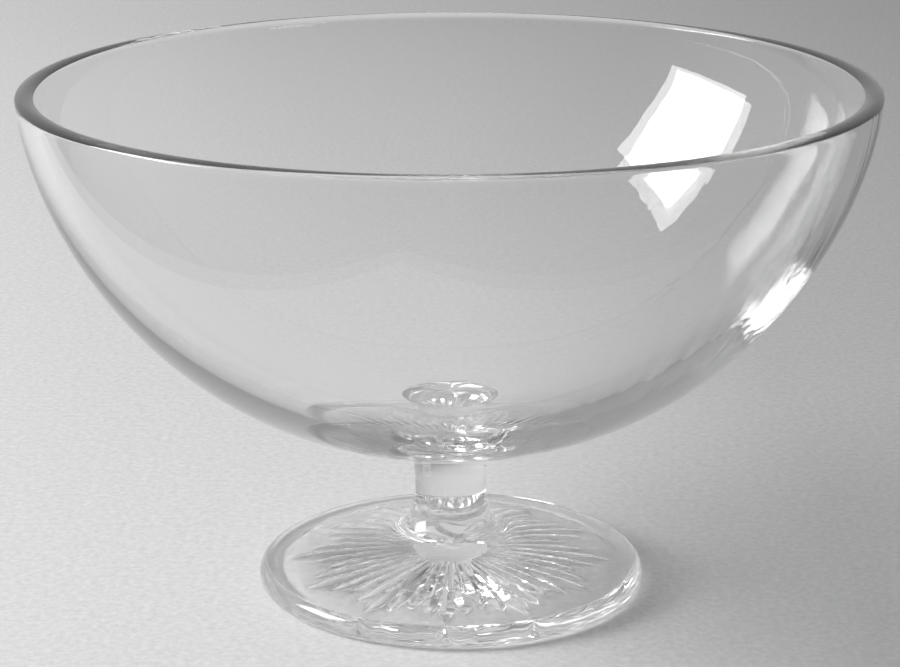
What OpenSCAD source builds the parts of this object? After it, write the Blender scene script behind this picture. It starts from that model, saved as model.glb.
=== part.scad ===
// A footed glass trifle bowl, in millimetres.
// The bowl, the stem and the foot are three pieces of clear glass, fused one on top of
// the other. All three are turned about the Z axis and the foot rests on the plane z = 0.

/* [Bowl] */
// Width across the rim
rim_w = 240; // [180:1:300]
// Depth of the outside, from the rim to the lowest point of the underside
bowl_h = 104.4; // [80:0.1:140]
// Thickness of the wall at the rim
wall_t = 5.2; // [3.6:0.1:8]
// Thickness of the glass in the middle of the bottom
floor_t = 8; // [5:0.1:14]
// Height of the fire-polished rim above the plain wall
rim_rise = 1.5; // [1.2:0.05:2.2]
// Radius of the two soft corners of the rim
rim_corner_r = 1.1; // [0.5:0.05:1.4]
// How early the side starts to turn in below the rim, an exponent
side_turn = 1.65; // [1.5:0.01:2.1]
// How full the side stays towards the bottom, an exponent
side_fullness = 2.2; // [2:0.01:2.6]

/* [Stem] */
// Height from the seam with the foot to the joint with the bowl
stem_h = 20.6; // [12:0.1:60]
// Width of the plain round part
stem_w = 20.6; // [14:0.1:21.6]
// Width of the flared top, where it is fused to the bowl
joint_w = 31; // [26:0.1:48]
// Height of the flare at the top, as a share of the height of the stem
flare_share = 0.61; // [0.3:0.01:0.9]
// Upright pull of the flare at its lower end, as a share of its height
flare_pull_share = 0.3; // [0.1:0.01:0.6]
// Outward pull of the flare at its upper end, as a share of its height
flare_reach_share = 0.25; // [0.1:0.01:0.4]

/* [Foot] */
// Width of the disc
foot_w = 112; // [104:1:140]
// Thickness of the disc at its edge
foot_t = 7; // [5:0.1:9]
// Height of the seam with the stem above the table
foot_h = 23.7; // [20:0.1:30]
// Width of the rounding under the edge
edge_under_w = 3; // [1.5:0.1:5]
// Width of the rounding on top of the edge
edge_top_w = 3.5; // [2:0.1:6]
// Height of the lower rounding, as a share of the thickness at the edge
edge_under_share = 0.5; // [0.3:0.01:0.7]
// Height of the broad swelling in the middle of the disc
swell_h = 11.5; // [6:0.1:13]
// Distance from the middle over which the swelling fades away
swell_reach = 36; // [28:0.5:44]
// Width of the raised neck just below the seam
neck_w = 21.8; // [21.6:0.1:26]
// Distance over which the neck falls away into the swelling
neck_fall = 2.2; // [1.2:0.1:4]
// Width of the flat ring that the foot rests on
rest_w = 4.4; // [3:0.1:7]
// Depth of the shallow hollow inside that ring
hollow_d = 0.4; // [0.2:0.05:0.8]
// Width of the slope at the edge of the hollow
hollow_slope_w = 1; // [0.5:0.1:2]

/* [Star] */
// Number of long rays, with three shorter ones between each two of them
ray_n = 12; // [8:1:14]
// Distance from the tips of the long rays to the edge of the hollow
tip_gap = 1; // [0.5:0.1:4]
// Length of the rays beside a long one, measured from the middle, as a share of the long ones
short_tip_share = 0.88; // [0.82:0.01:0.96]
// Length of the ray halfway between two long ones, as the same share
least_tip_share = 0.77; // [0.65:0.01:0.8]
// Distance from the middle at which every ray starts
ray_start_r = 8.8; // [6:0.1:12]
// Place where a ray is deepest, as a share of the distance to its tip
ray_deep_share = 0.76; // [0.6:0.01:0.9]
// Width of a ray, as a share of the room that it has beside its neighbours
ray_width_share = 1.06; // [1.02:0.01:1.2]
// Angle between the two faces of a ray, in degrees
ray_angle = 110; // [95:1:125]
// Angle by which the whole star is turned about the axis, in degrees
star_turn = -1.8; // [-15:0.1:15]

/* [Hidden] */
$fn = 128;
glass = [0.87, 0.92, 0.93, 0.5];
rim_r = rim_w / 2;
stem_r = stem_w / 2;
joint_r = joint_w / 2;
foot_r = foot_w / 2;
neck_r = neck_w / 2;
inside_r = rim_r - wall_t;
inside_h = bowl_h - floor_t;

// radius of a bowl side of radius r and depth h, at a drop below the rim
function side_r(r, h, drop) =
    r * pow(1 - pow(drop / h, side_turn), 1 / side_fullness);
// drop below the rim at which that side has the radius x
function side_drop(r, h, x) =
    h * pow(1 - pow(x / r, side_fullness), 1 / side_turn);

// the pieces stand on each other: the foot, the stem from its seam up to the flat joint,
// and the bowl from the joint up to the rim
flare_h = stem_h * flare_share;
flare_z = foot_h + stem_h - flare_h;
joint_z = foot_h + stem_h;
joint_drop = side_drop(rim_r, bowl_h, joint_r);
full_h = joint_z + joint_drop;

side_n = 40;
side_start = acos(joint_drop / bowl_h);
side_end = acos(rim_rise / bowl_h);
inside_end = acos(rim_rise / inside_h);
outer_side = [for (i = [0 : side_n])
    let (u = cos(side_start + (side_end - side_start) * i / side_n))
    [side_r(rim_r, bowl_h, bowl_h * u), full_h - bowl_h * u]];
inner_side = [for (i = [side_n : -1 : 1])
    let (u = cos(inside_end * i / side_n))
    [side_r(inside_r, inside_h, inside_h * u), full_h - inside_h * u]];

// the rim is an arch of three arcs: a corner, a flat crown and a corner
rim_out = side_r(rim_r, bowl_h, rim_rise);
rim_in = side_r(inside_r, inside_h, rim_rise);
rim_mid = (rim_out + rim_in) / 2;
arch_r = (rim_out - rim_in) / 2;
corner_x = arch_r - rim_corner_r;
crown_r = (pow(corner_x, 2) + pow(rim_rise, 2) - pow(rim_corner_r, 2))
    / (2 * (rim_rise - rim_corner_r));
crown_turn = atan2(corner_x, crown_r - rim_rise);
rim_z = full_h - rim_rise;
corner_n = 5;
crown_n = 8;
function arc(x, z, r, from, to, n) =
    [for (i = [0 : n]) let (a = from + (to - from) * i / n) [x + r * cos(a), z + r * sin(a)]];
outer_corner = arc(rim_mid + corner_x, rim_z, rim_corner_r, 0, 90 - crown_turn, corner_n);
crown = arc(rim_mid, full_h - crown_r, crown_r, 90 - crown_turn, 90 + crown_turn, crown_n);
inner_corner = arc(rim_mid - corner_x, rim_z, rim_corner_r, 90 + crown_turn, 180, corner_n);

// every point of a list but the first one
function tail(list) = [for (i = [1 : len(list) - 1]) list[i]];

// the flare is one smooth curve between four pull points
side_run = joint_r / 50;
run_drop = joint_drop - side_drop(rim_r, bowl_h, joint_r + side_run);
flare_turn = atan2(run_drop, side_run);
reach = flare_h * flare_reach_share;
flare_pulls = [
    [stem_r, flare_z],
    [stem_r, flare_z + flare_h * flare_pull_share],
    [joint_r - reach * cos(flare_turn), joint_z - reach * sin(flare_turn)],
    [joint_r, joint_z]];
function bend(p, t) = pow(1 - t, 3) * p[0] + 3 * t * pow(1 - t, 2) * p[1]
    + 3 * t * t * (1 - t) * p[2] + pow(t, 3) * p[3];
flare_n = 16;
flare = [for (i = [0 : flare_n]) bend(flare_pulls, i / flare_n)];

// the edge of the foot: one quarter of an oval below and one on top
edge_n = 8;
edge_in = foot_r - edge_top_w;
edge_z = foot_t * edge_under_share;
edge_step = 90 / edge_n;
foot_edge = concat(
    [for (i = [0 : edge_n]) let (a = i * edge_step)
        [foot_r - edge_under_w * (1 - sin(a)), edge_z * (1 - cos(a))]],
    [for (i = [1 : edge_n]) let (a = i * edge_step)
        [edge_in + edge_top_w * cos(a), edge_z + (foot_t - edge_z) * sin(a)]]);

// the top of the foot, from the edge in to the neck: a broad swelling, and a hollow rise
// to the seam
function bell(r) = exp(-pow(r / swell_reach, 2));
function swell_z(r) = swell_h * (bell(r) - bell(edge_in));
neck_h = foot_h - foot_t - swell_z(neck_r);
function top_z(r) = foot_t + swell_z(r) + neck_h * exp((neck_r - r) / neck_fall);
swell_n = 28;
swell = [for (i = [1 : swell_n])
    let (r = neck_r + (edge_in - neck_r) * pow(1 - i / swell_n, 2))
    [r, top_z(r)]];

// the underside: a shallow hollow inside the ring that the foot rests on
rest_r = foot_r - edge_under_w - rest_w;
hollow_r = rest_r - hollow_slope_w;
hollow = [[0, hollow_d], [hollow_r, hollow_d], [rest_r, 0]];

// a ray grows wider and deeper with the distance x from the middle, and past its deepest
// place it runs out to its tip
tip_n = 4;
ray_slope = 90 - ray_angle / 2;
tip_shares = [1, short_tip_share, least_tip_share, short_tip_share];
long_tip_r = hollow_r - tip_gap;
star_n = ray_n * len(tip_shares);
function ray_h(x) = x * tan(180 / star_n) * ray_width_share * tan(ray_slope);

// Which sub-part to draw

// the bowl, with a small flat under it for the stem
module bowl() {
    color(glass)
    rotate_extrude()
    polygon(concat([[0, joint_z]], outer_side, tail(outer_corner), tail(crown),
        tail(inner_corner), tail(inner_side), [[0, full_h - inside_h]]));
}

// the solid stem, with its flared top
module stem() {
    color(glass)
    rotate_extrude()
    polygon(concat([[0, foot_h], [stem_r, foot_h]], flare, [[0, joint_z]]));
}

// half of one ray: its outline from the side, drawn out sideways
module ray_side(tip_r) {
    deep_r = tip_r * ray_deep_share;
    deepest = ray_h(deep_r);
    reach_out = 3 * deepest;
    ridge = [for (i = [0 : tip_n])
        let (s = i / tip_n)
        [deep_r + (tip_r - deep_r) * s, deepest * (1 - s * s) * cos(ray_slope)]];
    start = [ray_start_r, ray_h(ray_start_r) * cos(ray_slope)];
    rotate([90, 0, 0])
    linear_extrude(height = 2 * reach_out, center = true)
    polygon(concat([start], ridge, [[tip_r, -reach_out], [ray_start_r, -reach_out]]));
}

// one ray: a groove like a leaf, with two faces that meet in a ridge
module ray(tip_r) {
    intersection() {
        rotate([-ray_slope, 0, 0])
        ray_side(tip_r);
        rotate([ray_slope, 0, 0])
        ray_side(tip_r);
    }
}

// the star: long rays and the shorter ones between them, all the way round
module star() {
    for (i = [0 : star_n - 1])
    rotate([0, 0, star_turn + i * 360 / star_n])
    ray(long_tip_r * tip_shares[i % len(tip_shares)]);
}

// the foot, a thick disc with a raised middle and the star cut into its underside
module foot() {
    color(glass)
    difference() {
        rotate_extrude()
        polygon(concat(hollow, foot_edge, swell, [[stem_r, foot_h], [0, foot_h]]));
        translate([0, 0, hollow_d])
        star();
    }
}

bowl();
stem();
foot();
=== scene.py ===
# %% [markdown]
# # A footed glass trifle bowl
# This lesson dresses a bowl that was drawn in CAD. The CAD model is the frame: it gives
# the sizes, and MuJoCo uses it for collision. Blender makes the glass. Clear glass shows
# little of itself. What the eye sees is the room, bent by its surfaces, so each surface
# has to be smooth and in the right place.

# %% Load the frame
import math

import bmesh
import bpy
from mathutils import Matrix, Vector


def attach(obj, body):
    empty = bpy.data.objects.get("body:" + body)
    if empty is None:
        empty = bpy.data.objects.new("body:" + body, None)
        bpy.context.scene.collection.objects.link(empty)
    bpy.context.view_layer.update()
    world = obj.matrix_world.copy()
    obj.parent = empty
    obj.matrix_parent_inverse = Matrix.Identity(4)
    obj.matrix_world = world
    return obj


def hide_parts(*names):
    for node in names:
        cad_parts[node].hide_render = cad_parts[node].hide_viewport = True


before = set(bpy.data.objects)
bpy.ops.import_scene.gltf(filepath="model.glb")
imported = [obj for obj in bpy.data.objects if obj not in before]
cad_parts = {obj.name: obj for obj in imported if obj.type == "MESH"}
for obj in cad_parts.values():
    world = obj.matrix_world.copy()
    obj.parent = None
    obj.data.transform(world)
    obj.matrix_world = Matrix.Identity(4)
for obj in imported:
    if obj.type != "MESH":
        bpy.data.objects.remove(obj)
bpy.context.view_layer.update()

# %% [markdown]
# ## Sizes
# The part's own source gives these sizes in millimetres, and they are repeated here
# because this file reads nothing but the frame. Blender works in metres, so every shape
# is drawn in millimetres and scaled once, when its mesh is made.

# %% Sizes in millimetres
MM = 0.001
RIM_R, BOWL_H, WALL_T, FLOOR_T = 120.0, 104.4, 5.2, 8.0
RIM_RISE, RIM_CORNER_R = 1.5, 1.1
SIDE_TURN, SIDE_FULLNESS = 1.65, 2.2
STEM_R, JOINT_R, FLARE_H = 10.3, 15.5, 12.6
FLARE_PULL, FLARE_REACH = 0.30, 0.25
FOOT_R, FOOT_T, FOOT_H = 56.0, 7.0, 23.7
NECK_R, NECK_FALL, SWELL_H, SWELL_W = 10.9, 2.2, 11.5, 36.0
RAYS, RAY_START, RAY_DEEP_SHARE, RAY_ANGLE = 12, 8.8, 0.76, 110.0
RAY_TIPS = (46.6, 41.0, 35.9, 41.0)
RAY_SPREAD = 1.06
EDGE_UNDER_W, EDGE_UNDER_H, EDGE_TOP_W = 3.0, 3.5, 3.5
HOLLOW_D, HOLLOW_R, REST_R = 0.4, 47.6, 48.6
STAR_TURN = -1.8
FULL_H, JOINT_GAP = 148.0, 0.002

TURNS, SHARP_ANGLE = 360, 30.0
scene = bpy.context.scene
root = "root"

# %% [markdown]
# ## The camera
# The photograph was taken a little above the rim, so the mouth of the bowl shows as a
# flat ellipse. The rim and the foot are two circles on one axis, and their two ellipses
# fix how high the camera stands, how far away and with what lens.

# %% Camera at the photograph's place
lens_px, frame_px, sensor_mm = 2593.2, 900.0, 36.0
camera_data = bpy.data.cameras.new("photo_camera")
camera_data.sensor_width = sensor_mm
camera_data.lens = lens_px * sensor_mm / frame_px
camera_data.clip_start = 0.01
camera = bpy.data.objects.new("photo_camera", camera_data)
scene.collection.objects.link(camera)
tilt, roll = 0.2857, -0.0029
distance, height = 0.71368, 0.2842
camera.matrix_world = (
    Matrix.Translation((0.0, -distance, height))
    @ Matrix.Rotation(math.pi / 2 - tilt, 4, "X")
    @ Matrix.Rotation(roll, 4, "Z")
)
scene.camera = camera
print("lens in mm:", round(camera_data.lens, 2))

# %% [markdown]
# ## Helpers for materials
# Colours are written as sRGB hex, the way a colour picker shows them, and one function
# turns them to the linear values that Blender calculates with. Another small function
# adds a node, sets it and links it, so that a material reads from top to bottom.


# %% Colour and node helpers
def linear(hex_colour):
    """Linear red, green, blue and alpha of an sRGB hex colour."""
    values = [int(hex_colour[i : i + 2], 16) / 255 for i in (1, 3, 5)]
    return [v / 12.92 if v <= 0.04045 else ((v + 0.055) / 1.055) ** 2.4 for v in values] + [1.0]


def add_node(tree, kind, settings=None, links=None):
    """Adds one node. Its settings go to a property or a socket and its links to a socket,
    which is given by its name, or by its number where two have the same name."""
    node = tree.nodes.new(kind)
    for name, value in (settings or {}).items():
        if isinstance(name, int) or name in node.inputs:
            node.inputs[name].default_value = value
        else:
            setattr(node, name, value)
    for name, output in (links or {}).items():
        tree.links.new(output, node.inputs[name])
    return node


def empty_material(name):
    """A new material without the nodes that Blender puts in it."""
    material = bpy.data.materials.new(name)
    material.use_nodes = True
    material.node_tree.nodes.clear()
    return material, material.node_tree


# %% [markdown]
# ## Soda-lime glass
# Table glass is soda-lime glass with an index of about 1.52. The flame polished it, so it
# has no roughness, but hand-worked glass is never quite even. Two very low bumps give the
# eye this. One is slow waves some centimetres long, which make the reflections wander.
# The other is faint ribs that run up one side of the bowl. They pull the reflection of the
# lamp out into streaks, and fade away towards the axis, where they would crowd together.
#
# The inside of glass matters as much as its skin. A volume that soaks up a little light
# darkens the thick places, such as the lower edge of the bowl, and leaves the thin ones
# clear. The bowl needs more of it than the stem and the foot, so there are two glasses.
#
# The three pieces are fused, and there is no skin between them. Left alone, each joint
# would show as two mirrors. So the faces of a joint carry an attribute called fused, and
# the material swaps their skin for plain see-through. Every mesh stays closed, which the
# volume needs. The two faces of a joint lie 0.002 mm apart, because a ray may skip one of
# two faces that are in exactly the same place.


# %% Waves and ribs
WAVE_LENGTH, RIB_LENGTH = 40.0, 12.0
RIBS_FROM, RIBS_FULL = 0.42 * RIM_R, 0.68 * RIM_R
SIDE_FROM, SIDE_FULL = 0.1, 0.7


def slow_waves(tree, place, height_mm):
    """The broad waves that the flame leaves."""
    waves = add_node(
        tree,
        "ShaderNodeTexNoise",
        {"Scale": 1 / (WAVE_LENGTH * MM), "Detail": 1.0, "Roughness": 0.4},
        {"Vector": place},
    )
    return add_node(
        tree,
        "ShaderNodeBump",
        {"Strength": 1.0, "Distance": height_mm * MM},
        {"Height": waves.outputs["Fac"]},
    )


def upright_ribs(tree, place, height_mm, normal):
    """Ribs that depend on the bearing alone, so they run straight up the wall. They are full
    only away from the axis and on the side that faces +X."""
    outward = add_node(
        tree,
        "ShaderNodeVectorMath",
        {"operation": "MULTIPLY", 1: (1.0, 1.0, 0.0)},
        {0: place},
    )
    bearing = add_node(
        tree, "ShaderNodeVectorMath", {"operation": "NORMALIZE"}, {0: outward.outputs["Vector"]}
    )
    ribs = add_node(
        tree,
        "ShaderNodeTexNoise",
        {"Scale": RIM_R / RIB_LENGTH, "Detail": 2.0, "Roughness": 0.5},
        {"Vector": bearing.outputs["Vector"]},
    )
    radius = add_node(
        tree, "ShaderNodeVectorMath", {"operation": "LENGTH"}, {0: outward.outputs["Vector"]}
    )
    share = add_node(
        tree,
        "ShaderNodeMapRange",
        {"From Min": RIBS_FROM * MM, "From Max": RIBS_FULL * MM},
        {"Value": radius.outputs["Value"]},
    )
    facing = add_node(tree, "ShaderNodeSeparateXYZ", {}, {"Vector": bearing.outputs["Vector"]})
    side = add_node(
        tree,
        "ShaderNodeMapRange",
        {"From Min": SIDE_FROM, "From Max": SIDE_FULL},
        {"Value": facing.outputs["X"]},
    )
    worked = add_node(
        tree,
        "ShaderNodeMath",
        {"operation": "MULTIPLY"},
        {0: side.outputs["Result"], 1: share.outputs["Result"]},
    )
    height = add_node(
        tree,
        "ShaderNodeMath",
        {"operation": "MULTIPLY"},
        {0: ribs.outputs["Fac"], 1: worked.outputs["Value"]},
    )
    return add_node(
        tree,
        "ShaderNodeBump",
        {"Strength": 1.0, "Distance": height_mm * MM},
        {"Height": height.outputs["Value"], "Normal": normal},
    )


# %% Clear glass
GLASS_IOR = 1.52


def clear_glass(name, tint_per_metre, wave_height_mm, rib_height_mm):
    """Polished soda-lime glass, with waves and ribs of the given heights."""
    material, tree = empty_material(name)
    place = add_node(tree, "ShaderNodeTexCoord").outputs["Object"]
    waves = slow_waves(tree, place, wave_height_mm)
    ribs = upright_ribs(tree, place, rib_height_mm, waves.outputs["Normal"])
    skin = add_node(
        tree,
        "ShaderNodeBsdfPrincipled",
        {
            "Base Color": linear("#ffffff"),
            "Roughness": 0.0,
            "IOR": GLASS_IOR,
            "Transmission Weight": 1.0,
        },
        {"Normal": ribs.outputs["Normal"]},
    )
    fused = add_node(tree, "ShaderNodeAttribute", {"attribute_name": "fused"})
    through = add_node(tree, "ShaderNodeBsdfTransparent", {"Color": linear("#ffffff")})
    surface = add_node(
        tree,
        "ShaderNodeMixShader",
        {},
        {"Fac": fused.outputs["Fac"], 1: skin.outputs["BSDF"], 2: through.outputs["BSDF"]},
    )
    tint = add_node(
        tree,
        "ShaderNodeVolumeAbsorption",
        {"Color": linear("#000000"), "Density": tint_per_metre},
    )
    add_node(
        tree,
        "ShaderNodeOutputMaterial",
        {},
        {"Surface": surface.outputs["Shader"], "Volume": tint.outputs["Volume"]},
    )
    return material


wall_glass = clear_glass(
    "soda_lime_glass_wall", tint_per_metre=3.4, wave_height_mm=0.04, rib_height_mm=0.05
)
solid_glass = clear_glass(
    "soda_lime_glass_solid", tint_per_metre=0.7, wave_height_mm=0.01, rib_height_mm=0.0
)
print("glasses:", wall_glass.name, solid_glass.name)

# %% [markdown]
# ## Turning a profile
# Each piece is round, so it could be a cylinder bent with modifiers, or a profile spun
# about the axis. The profile is chosen, because it holds the exact curve of the CAD model
# and gives clean rings of faces. Smooth shading hides the facets, and edges sharper than
# 30 degrees stay crisp.


# %% Turned pieces
def turned_piece(name, profile, glass, joints=()):
    """Spins a profile of (radius, height) points from the axis to the axis. A joint is the
    index of a point: the flat face between it and the point on the axis is fused."""
    mesh = bmesh.new()
    fused = mesh.faces.layers.float.new("fused")
    rings = []
    for radius, height in profile:
        if radius == 0:
            rings.append([mesh.verts.new((0, 0, height * MM))])
            continue
        turns = [2 * math.pi * i / TURNS for i in range(TURNS)]
        rings.append(
            [
                mesh.verts.new((radius * math.cos(a) * MM, radius * math.sin(a) * MM, height * MM))
                for a in turns
            ]
        )
    for k in range(len(rings) - 1):
        low, high = rings[k], rings[k + 1]
        for i in range(TURNS):
            j = (i + 1) % TURNS
            if len(low) == 1:
                corners = (low[0], high[j], high[i])
            elif len(high) == 1:
                corners = (low[i], low[j], high[0])
            else:
                corners = (low[i], low[j], high[j], high[i])
            face = mesh.faces.new(corners)
            face.smooth = True
            face[fused] = float(k in joints)
    bmesh.ops.recalc_face_normals(mesh, faces=mesh.faces)
    data = bpy.data.meshes.new(name)
    mesh.to_mesh(data)
    mesh.free()
    data.set_sharp_from_angle(angle=math.radians(SHARP_ANGLE))
    data.materials.append(glass)
    piece = bpy.data.objects.new(name, data)
    scene.collection.objects.link(piece)
    print(name, "faces:", len(data.polygons))
    return piece


def arc(x, z, radius, start, end, steps):
    """Points of an arc about (x, z), from one angle in degrees to another."""
    turns = [math.radians(start + (end - start) * i / steps) for i in range(steps + 1)]
    return [(x + radius * math.cos(a), z + radius * math.sin(a)) for a in turns]


# %% [markdown]
# ## The bowl
# The side of the bowl isn't a circle or an ellipse. It stays upright below the rim, then
# turns in, and stays full towards the bottom. A curve with two exponents does both. The
# inside has the same curve but is less deep, so the glass is 5 mm thick at the rim and
# 8 mm at the bottom. That extra glass is what bends the light into the dark crescent along
# the lower edge.


# %% The side's curve
def side_r(radius, depth, drop):
    """Radius of a side at a drop below the rim."""
    return radius * (1 - (drop / depth) ** SIDE_TURN) ** (1 / SIDE_FULLNESS)


def side_drop(radius, depth, x):
    """Drop below the rim at which a side has the radius x."""
    return depth * (1 - (x / radius) ** SIDE_FULLNESS) ** (1 / SIDE_TURN)


joint_drop = side_drop(RIM_R, BOWL_H, JOINT_R)
JOINT_Z = FULL_H - joint_drop
inside_r, inside_h = RIM_R - WALL_T, BOWL_H - FLOOR_T
SIDE_STEPS, CORNER_STEPS, CROWN_STEPS = 120, 8, 14
print("height of the joint in mm:", round(JOINT_Z, 2))


# %% Bowl profile and piece
def bowl_side(radius, depth, start, steps):
    """Points of a bowl side from the drop start up to the foot of the rim."""
    first, last = math.acos(start / depth), math.acos(RIM_RISE / depth)
    drops = [depth * math.cos(first + (last - first) * i / steps) for i in range(steps + 1)]
    return [(side_r(radius, depth, d), FULL_H - d) for d in drops]


def rim_arch():
    """The fire-polished rim: a soft corner, a flat crown and a soft corner."""
    outer = side_r(RIM_R, BOWL_H, RIM_RISE)
    inner = side_r(inside_r, inside_h, RIM_RISE)
    middle, half = (outer + inner) / 2, (outer - inner) / 2
    corner = half - RIM_CORNER_R
    crown = (corner**2 + RIM_RISE**2 - RIM_CORNER_R**2) / (2 * (RIM_RISE - RIM_CORNER_R))
    turn = math.degrees(math.atan2(corner, crown - RIM_RISE))
    base = FULL_H - RIM_RISE
    return (
        arc(middle + corner, base, RIM_CORNER_R, 0, 90 - turn, CORNER_STEPS)[1:]
        + arc(middle, FULL_H - crown, crown, 90 - turn, 90 + turn, CROWN_STEPS)[1:]
        + arc(middle - corner, base, RIM_CORNER_R, 90 + turn, 180, CORNER_STEPS)[1:-1]
    )


outer_side = bowl_side(RIM_R, BOWL_H, joint_drop, SIDE_STEPS)
inner_side = bowl_side(inside_r, inside_h, inside_h, SIDE_STEPS)[::-1]
inner_side = inner_side[:-1] + [(0, FULL_H - inside_h)]
bowl_profile = [(0, JOINT_Z)] + outer_side + rim_arch() + inner_side
bowl = turned_piece("glass_bowl", bowl_profile, wall_glass, joints=(0,))
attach(bowl, root)
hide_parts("bowl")

# %% [markdown]
# ## The stem
# The stem was drawn from the hot glass under the bowl, so it flares into the bowl with a
# smooth hollow curve. A cubic curve through four pull points gives that flare. At its
# lower end the stem is cut square, where it was set on the foot.

# %% Stem profile and piece
FLARE_STEPS = 40
side_run = JOINT_R / 50
run_drop = joint_drop - side_drop(RIM_R, BOWL_H, JOINT_R + side_run)
flare_turn = math.atan2(run_drop, side_run)
flare_z = JOINT_Z - FLARE_H
reach = FLARE_H * FLARE_REACH
pulls = [
    Vector((STEM_R, flare_z)),
    Vector((STEM_R, flare_z + FLARE_H * FLARE_PULL)),
    Vector((JOINT_R - reach * math.cos(flare_turn), JOINT_Z - reach * math.sin(flare_turn))),
    Vector((JOINT_R, JOINT_Z)),
]


def bend(points, t):
    """A point of the cubic curve through four pull points."""
    weights = ((1 - t) ** 3, 3 * t * (1 - t) ** 2, 3 * t * t * (1 - t), t**3)
    return tuple(sum((w * p for w, p in zip(weights, points)), Vector((0, 0))))


flare = [bend(pulls, i / FLARE_STEPS) for i in range(FLARE_STEPS + 1)]
stem_low, stem_high = FOOT_H + JOINT_GAP, JOINT_Z - JOINT_GAP
stem_profile = [(0, stem_low), (STEM_R, stem_low)] + flare[:-1]
stem_profile += [(JOINT_R, stem_high), (0, stem_high)]
stem = turned_piece("glass_stem", stem_profile, solid_glass, joints=(0, len(stem_profile) - 2))
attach(stem, root)
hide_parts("stem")

# %% [markdown]
# ## The foot
# The foot is a thick disc that swells up to meet the stem. Its edge is two quarters of an
# oval, one below and one on top. A shallow hollow keeps the star off the table, and the
# foot rests on the flat ring around it. The star was cut or pressed: twelve long rays,
# with three shorter ones between each pair. Each ray is a groove shaped like a leaf, with
# two faces that meet in a ridge. The grooves run into each other near the middle, so one
# exact boolean cuts them all. A bump would be less work, but glass bends light by the
# true slope of every face, so the grooves have to be real.

# %% Foot profile and disc
EDGE_STEPS, SWELL_STEPS = 24, 100
turns = [math.radians(-90 + 90 * i / EDGE_STEPS) for i in range(EDGE_STEPS + 1)]
foot_edge = [
    (FOOT_R - EDGE_UNDER_W * (1 - math.cos(a)), EDGE_UNDER_H * (1 + math.sin(a))) for a in turns
]
edge_in, edge_top = FOOT_R - EDGE_TOP_W, FOOT_T - EDGE_UNDER_H
foot_edge += [
    (edge_in + EDGE_TOP_W * math.cos(-a), EDGE_UNDER_H + edge_top * math.sin(-a))
    for a in turns[-2::-1]
]


def swell_only(r):
    """Height of the broad swelling above the edge."""
    level = math.exp(-((edge_in / SWELL_W) ** 2))
    return SWELL_H * (math.exp(-((r / SWELL_W) ** 2)) - level)


def foot_top(r):
    """Height of the top of the foot: a gentle swell, and a hollow rise to the neck."""
    neck_rise = FOOT_H - FOOT_T - swell_only(NECK_R)
    return FOOT_T + swell_only(r) + neck_rise * math.exp(-(r - NECK_R) / NECK_FALL)


swell = []
for i in range(1, SWELL_STEPS + 1):
    r = NECK_R + (edge_in - NECK_R) * (1 - i / SWELL_STEPS) ** 2
    swell.append((r, foot_top(r)))
hollow = [(0, HOLLOW_D), (HOLLOW_R, HOLLOW_D), (REST_R, 0)]
foot_profile = hollow + foot_edge + swell + [(STEM_R, FOOT_H), (0, FOOT_H)]
foot = turned_piece("glass_foot", foot_profile, solid_glass, joints=(len(foot_profile) - 2,))


# %% The groove of one ray
LEAF_STEPS, BELOW, OVERLAP = 14, 0.6, 0.002
half_step = math.pi / (RAYS * len(RAY_TIPS))
groove_slope = math.tan(math.radians(RAY_ANGLE / 2))


def ray_cutter(mesh, tip, turn):
    """Adds a closed solid that is the groove of one ray, turned about the axis. The groove
    widens with its distance from the middle, and runs out in a leaf's point."""
    deep = tip * RAY_DEEP_SHARE
    stations = [RAY_START] + [
        deep + (tip - deep) * i / LEAF_STEPS for i in range(LEAF_STEPS + 1)
    ]
    spin = Matrix.Rotation(turn, 3, "Z")
    ridge, left, right = [], [], []
    for x in stations:
        depth = min(x, deep) * half_step * RAY_SPREAD / groove_slope
        fade = 1 - max(0, (x - deep) / (tip - deep)) ** 2
        rise = depth * fade + OVERLAP
        width = (rise + BELOW) * groove_slope
        for row, y, z in ((ridge, 0, rise), (left, width, -BELOW), (right, -width, -BELOW)):
            row.append(mesh.verts.new(spin @ Vector((x, y, z + HOLLOW_D)) * MM))
    for i in range(len(stations) - 1):
        mesh.faces.new((ridge[i], ridge[i + 1], left[i + 1], left[i]))
        mesh.faces.new((ridge[i + 1], ridge[i], right[i], right[i + 1]))
        mesh.faces.new((left[i], left[i + 1], right[i + 1], right[i]))
    for i in (0, len(stations) - 1):
        mesh.faces.new((ridge[i], left[i], right[i]))


# %% Cut the star
def star_cutter():
    """All the grooves in one mesh, with a long ray first."""
    mesh = bmesh.new()
    for i in range(RAYS * len(RAY_TIPS)):
        turn = 2 * half_step * i + math.radians(STAR_TURN)
        ray_cutter(mesh, RAY_TIPS[i % len(RAY_TIPS)], turn)
    bmesh.ops.recalc_face_normals(mesh, faces=mesh.faces)
    data = bpy.data.meshes.new("star_cutter")
    mesh.to_mesh(data)
    mesh.free()
    data.materials.append(solid_glass)
    return bpy.data.objects.new("star_cutter", data)


cutter = star_cutter()
scene.collection.objects.link(cutter)
cut = foot.modifiers.new("star", "BOOLEAN")
cut.operation, cut.solver, cut.object, cut.use_self = "DIFFERENCE", "EXACT", cutter, True
graph = bpy.context.evaluated_depsgraph_get()
cut_mesh = bpy.data.meshes.new_from_object(foot.evaluated_get(graph))
foot.modifiers.clear()
foot.data = cut_mesh
bpy.data.objects.remove(cutter)
foot.data.set_sharp_from_angle(angle=math.radians(SHARP_ANGLE))
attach(foot, root)
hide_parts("foot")
print("foot faces with the star:", len(foot.data.polygons))

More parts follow.
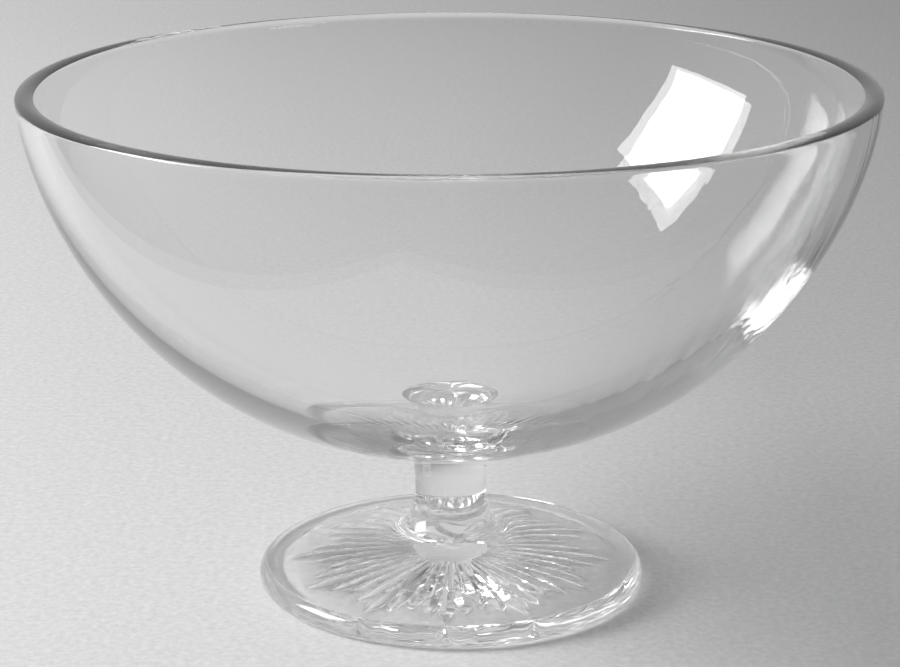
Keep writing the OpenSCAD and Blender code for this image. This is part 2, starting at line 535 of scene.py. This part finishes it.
# %% [markdown]
# ## The card and the table
# The bowl stands on a pale matt card that runs far behind it, so the picture has no
# horizon. Paper fibres give the card a fine mottle, and the eye reads the clear glass by
# the way it bends that mottle. The grain is drawn about 2 mm wide, coarser than in real
# card, so that it shows in the picture.
#
# The light falls off towards the right and the back, and drops most steeply to the right of
# the bowl, where its shadow falls. A lamp alone could do that, but it would change the glass
# too, so this is painted shade: the card itself goes from one grey to another.
#
# The card has a corner in front of the bowl, and past it lies a grey table. The near wall
# mirrors that corner as two soft arcs.


# %% Falls of colour for the painted shade
def scaled(tree, output, low, high, power=1.0):
    """Turns a length in metres between low and high into a share from 0 to 1."""
    span = add_node(
        tree, "ShaderNodeMapRange", {"From Min": low, "From Max": high}, {"Value": output}
    )
    bent = add_node(
        tree, "ShaderNodeMath", {"operation": "POWER", 1: power}, {0: span.outputs["Result"]}
    )
    return bent.outputs["Value"]


def blended(tree, share, first, second):
    """A colour between two others. Each is a hex colour or the output of a node. A Mix
    node has sockets for each kind of data, and its colours are inputs 6 and 7 and output 2."""
    mix = add_node(tree, "ShaderNodeMix", {"data_type": "RGBA"})
    tree.links.new(share, mix.inputs["Factor"])
    for socket, colour in ((mix.inputs[6], first), (mix.inputs[7], second)):
        if isinstance(colour, str):
            socket.default_value = linear(colour)
        else:
            tree.links.new(colour, socket)
    return mix.outputs[2]


# %% Pale matt card with painted shade
def card_with_painted_shade():
    """Uncoated matt card: no shine, and a soft mottle from its fibres. Its colour also carries
    painted shade, darker towards the right, past the bowl, and towards the back.
    """
    material, tree = empty_material("matt_card_with_painted_shade")
    grain_mm, fibre_mm = 2.2, 0.04
    place = add_node(tree, "ShaderNodeTexCoord")
    sides = add_node(tree, "ShaderNodeSeparateXYZ", {}, {"Vector": place.outputs["Object"]})
    # Painted shade: the ramp darkens the card from left to right, most steeply just right of the
    # bowl, where its shadow falls, and the blend darkens it towards the back.
    across = scaled(tree, sides.outputs["X"], -0.3, 0.3)
    back = scaled(tree, sides.outputs["Y"], -0.1, 1.0, power=0.8)
    near = add_node(tree, "ShaderNodeValToRGB", {}, {"Fac": across})
    stops = ((0.0, "#e4e4e4"), (0.5, "#dadada"), (0.7, "#b9b9b9"), (1.0, "#b2b2b2"))
    ramp = near.color_ramp.elements
    for position, colour in stops[1:-1]:
        ramp.new(position)
    for stop, (position, colour) in zip(ramp, stops):
        stop.position, stop.color = position, linear(colour)
    far = blended(tree, across, "#d1d1d1", "#acacac")
    fibres = add_node(
        tree,
        "ShaderNodeTexNoise",
        {"Scale": 1 / (grain_mm * MM), "Detail": 3.0, "Roughness": 0.65},
        {"Vector": place.outputs["Object"]},
    )
    speckle = add_node(
        tree,
        "ShaderNodeMapRange",
        {"From Min": 0.3, "From Max": 0.7, "To Min": 0.90, "To Max": 1.08},
        {"Value": fibres.outputs["Fac"]},
    )
    painted_shade_and_mottle = add_node(
        tree,
        "ShaderNodeVectorMath",
        {"operation": "SCALE"},
        {0: blended(tree, back, near.outputs["Color"], far), "Scale": speckle.outputs["Result"]},
    )
    rough = add_node(
        tree,
        "ShaderNodeBump",
        {"Strength": 1.0, "Distance": fibre_mm * MM},
        {"Height": fibres.outputs["Fac"]},
    )
    card = add_node(
        tree,
        "ShaderNodeBsdfPrincipled",
        {"Roughness": 0.9, "Specular IOR Level": 0.1},
        {"Base Color": painted_shade_and_mottle.outputs["Vector"], "Normal": rough.outputs["Normal"]},
    )
    add_node(tree, "ShaderNodeOutputMaterial", {}, {"Surface": card.outputs["BSDF"]})
    return material


# %% Card and table
def grey_laminate():
    """Matt laminate: the front view shows it only as a reflection in the near wall."""
    material, tree = empty_material("grey_laminate_table")
    laminate = add_node(
        tree, "ShaderNodeBsdfPrincipled", {"Base Color": linear("#858585"), "Roughness": 0.7}
    )
    add_node(tree, "ShaderNodeOutputMaterial", {}, {"Surface": laminate.outputs["BSDF"]})
    return material


def flat_sheet(name, corners, height, material):
    """One level face, which is part of the stage and not of the bowl."""
    data = bpy.data.meshes.new(name)
    data.from_pydata([(x, y, height) for x, y in corners], [], [range(len(corners))])
    data.materials.append(material)
    sheet = bpy.data.objects.new(name, data)
    scene.collection.objects.link(sheet)
    return sheet


CARD_Z, TABLE_Z, TABLE_HALF = -0.2, -0.5, 1.9
card_corners = [(-0.043, -0.216), (1.9, 0.639), (1.9, 1.9), (-1.9, 1.9), (-1.9, 1.771)]
flat_sheet("card", card_corners, CARD_Z * MM, card_with_painted_shade())
table_corners = [(x * TABLE_HALF, y * TABLE_HALF) for x, y in ((-1, -1), (1, -1), (1, 1), (-1, 1))]
flat_sheet("table", table_corners, TABLE_Z * MM, grey_laminate())
print("corner of the card in metres:", card_corners[0])

# %% [markdown]
# ## The light
# The white shape on the inner right wall is the mirror image of the lamp. Traced back
# from the wall, it is a softbox about 1.3 m wide, over 2 m away on the left and a little
# above the bowl. Its cloth is dimmer along the border, so the image has a bright core and
# a paler edge. The lamp's own UV coordinates tell how far a point is from the middle.


# %% The cloth of the softbox
def cloth_glow(tree):
    """Light that is even in the middle of the cloth and dimmer along its border."""
    cloth = add_node(tree, "ShaderNodeTexCoord")
    middle = add_node(
        tree,
        "ShaderNodeVectorMath",
        {"operation": "SUBTRACT", 1: (0.5, 0.5, 0.0)},
        {0: cloth.outputs["UV"]},
    )
    away = add_node(
        tree, "ShaderNodeVectorMath", {"operation": "ABSOLUTE"}, {0: middle.outputs["Vector"]}
    )
    sides = add_node(tree, "ShaderNodeSeparateXYZ", {}, {"Vector": away.outputs["Vector"]})
    edge = add_node(
        tree,
        "ShaderNodeMath",
        {"operation": "MAXIMUM"},
        {0: sides.outputs["X"], 1: sides.outputs["Y"]},
    )
    glow = add_node(
        tree,
        "ShaderNodeMapRange",
        {"From Min": 0.36, "From Max": 0.40, "To Min": 1.1, "To Max": 0.6},
        {"Value": edge.outputs["Value"]},
    )
    bulb = add_node(tree, "ShaderNodeEmission", {}, {"Strength": glow.outputs["Result"]})
    add_node(tree, "ShaderNodeOutputLight", {}, {"Surface": bulb.outputs["Emission"]})


# %% The softbox
def softbox(name, place, target, width, height, watts):
    """An area lamp at one point, turned to face another. Lengths are in metres."""
    data = bpy.data.lights.new(name, "AREA")
    data.shape, data.size, data.size_y, data.energy = "RECTANGLE", width, height, watts
    data.use_nodes = True
    data.node_tree.nodes.clear()
    cloth_glow(data.node_tree)
    lamp = bpy.data.objects.new(name, data)
    scene.collection.objects.link(lamp)
    lamp.location = place
    aim = Vector(target) - Vector(place)
    lamp.rotation_euler = aim.to_track_quat("-Z", "Y").to_euler()
    return lamp


lamp = softbox(
    "softbox_left",
    place=(-2.08, -0.059, 1.208),
    target=(0.0, 0.0, 0.08),
    width=1.31,
    height=1.22,
    watts=69.0,
)
print("lamp's distance in metres:", round(lamp.location.length, 2))

# %% [markdown]
# ## The room
# What the glass doesn't take from the lamp or the card comes from the room, and a plain
# world is enough for it. It is brighter on the left, where the light falls on the walls,
# and dimmer behind the camera, which gives the front of the rim its thin dark line.


# %% The room
def pale_room(left, right, front):
    """A room with one strength on the left and one on the right. The share in front of the
    bowl, behind the camera, dims both."""
    world = bpy.data.worlds.new("pale_room")
    world.use_nodes = True
    tree = world.node_tree
    tree.nodes.clear()
    place = add_node(tree, "ShaderNodeTexCoord")
    sides = add_node(tree, "ShaderNodeSeparateXYZ", {}, {"Vector": place.outputs["Generated"]})
    level = add_node(
        tree,
        "ShaderNodeMapRange",
        {"From Min": -1.0, "From Max": 1.0, "To Min": left, "To Max": right},
        {"Value": sides.outputs["X"]},
    )
    depth = add_node(
        tree,
        "ShaderNodeMapRange",
        {"From Min": -0.6, "From Max": 0.1, "To Min": front, "To Max": 1.0},
        {"Value": sides.outputs["Y"]},
    )
    light = add_node(
        tree,
        "ShaderNodeMath",
        {"operation": "MULTIPLY"},
        {0: level.outputs["Result"], 1: depth.outputs["Result"]},
    )
    room = add_node(
        tree,
        "ShaderNodeBackground",
        {"Color": linear("#ffffff")},
        {"Strength": light.outputs["Value"]},
    )
    add_node(tree, "ShaderNodeOutputWorld", {}, {"Surface": room.outputs["Background"]})
    return world


scene.world = pale_room(left=0.76, right=0.40, front=0.4)
print("world:", scene.world.name)

# %% [markdown]
# ## Finish
# Light that enters the wall of the bowl is led a long way round inside it by total
# reflection, so glass needs more bounces than anything else: at 32 the lower edge of the
# bowl is black, and at 160 it is clear. Cycles also blurs sharp reflected paths to save
# noise. That takes away light that the foot should pass on to the card, so the blur is
# off. The view transform is Standard, so a colour is shown as it is calculated.

# %% Render settings
scene.view_settings.view_transform = "Standard"
BOUNCES = 160
scene.cycles.max_bounces = BOUNCES
scene.cycles.transmission_bounces = BOUNCES
scene.cycles.glossy_bounces = BOUNCES
scene.cycles.transparent_max_bounces = 32
scene.cycles.blur_glossy = 0.0
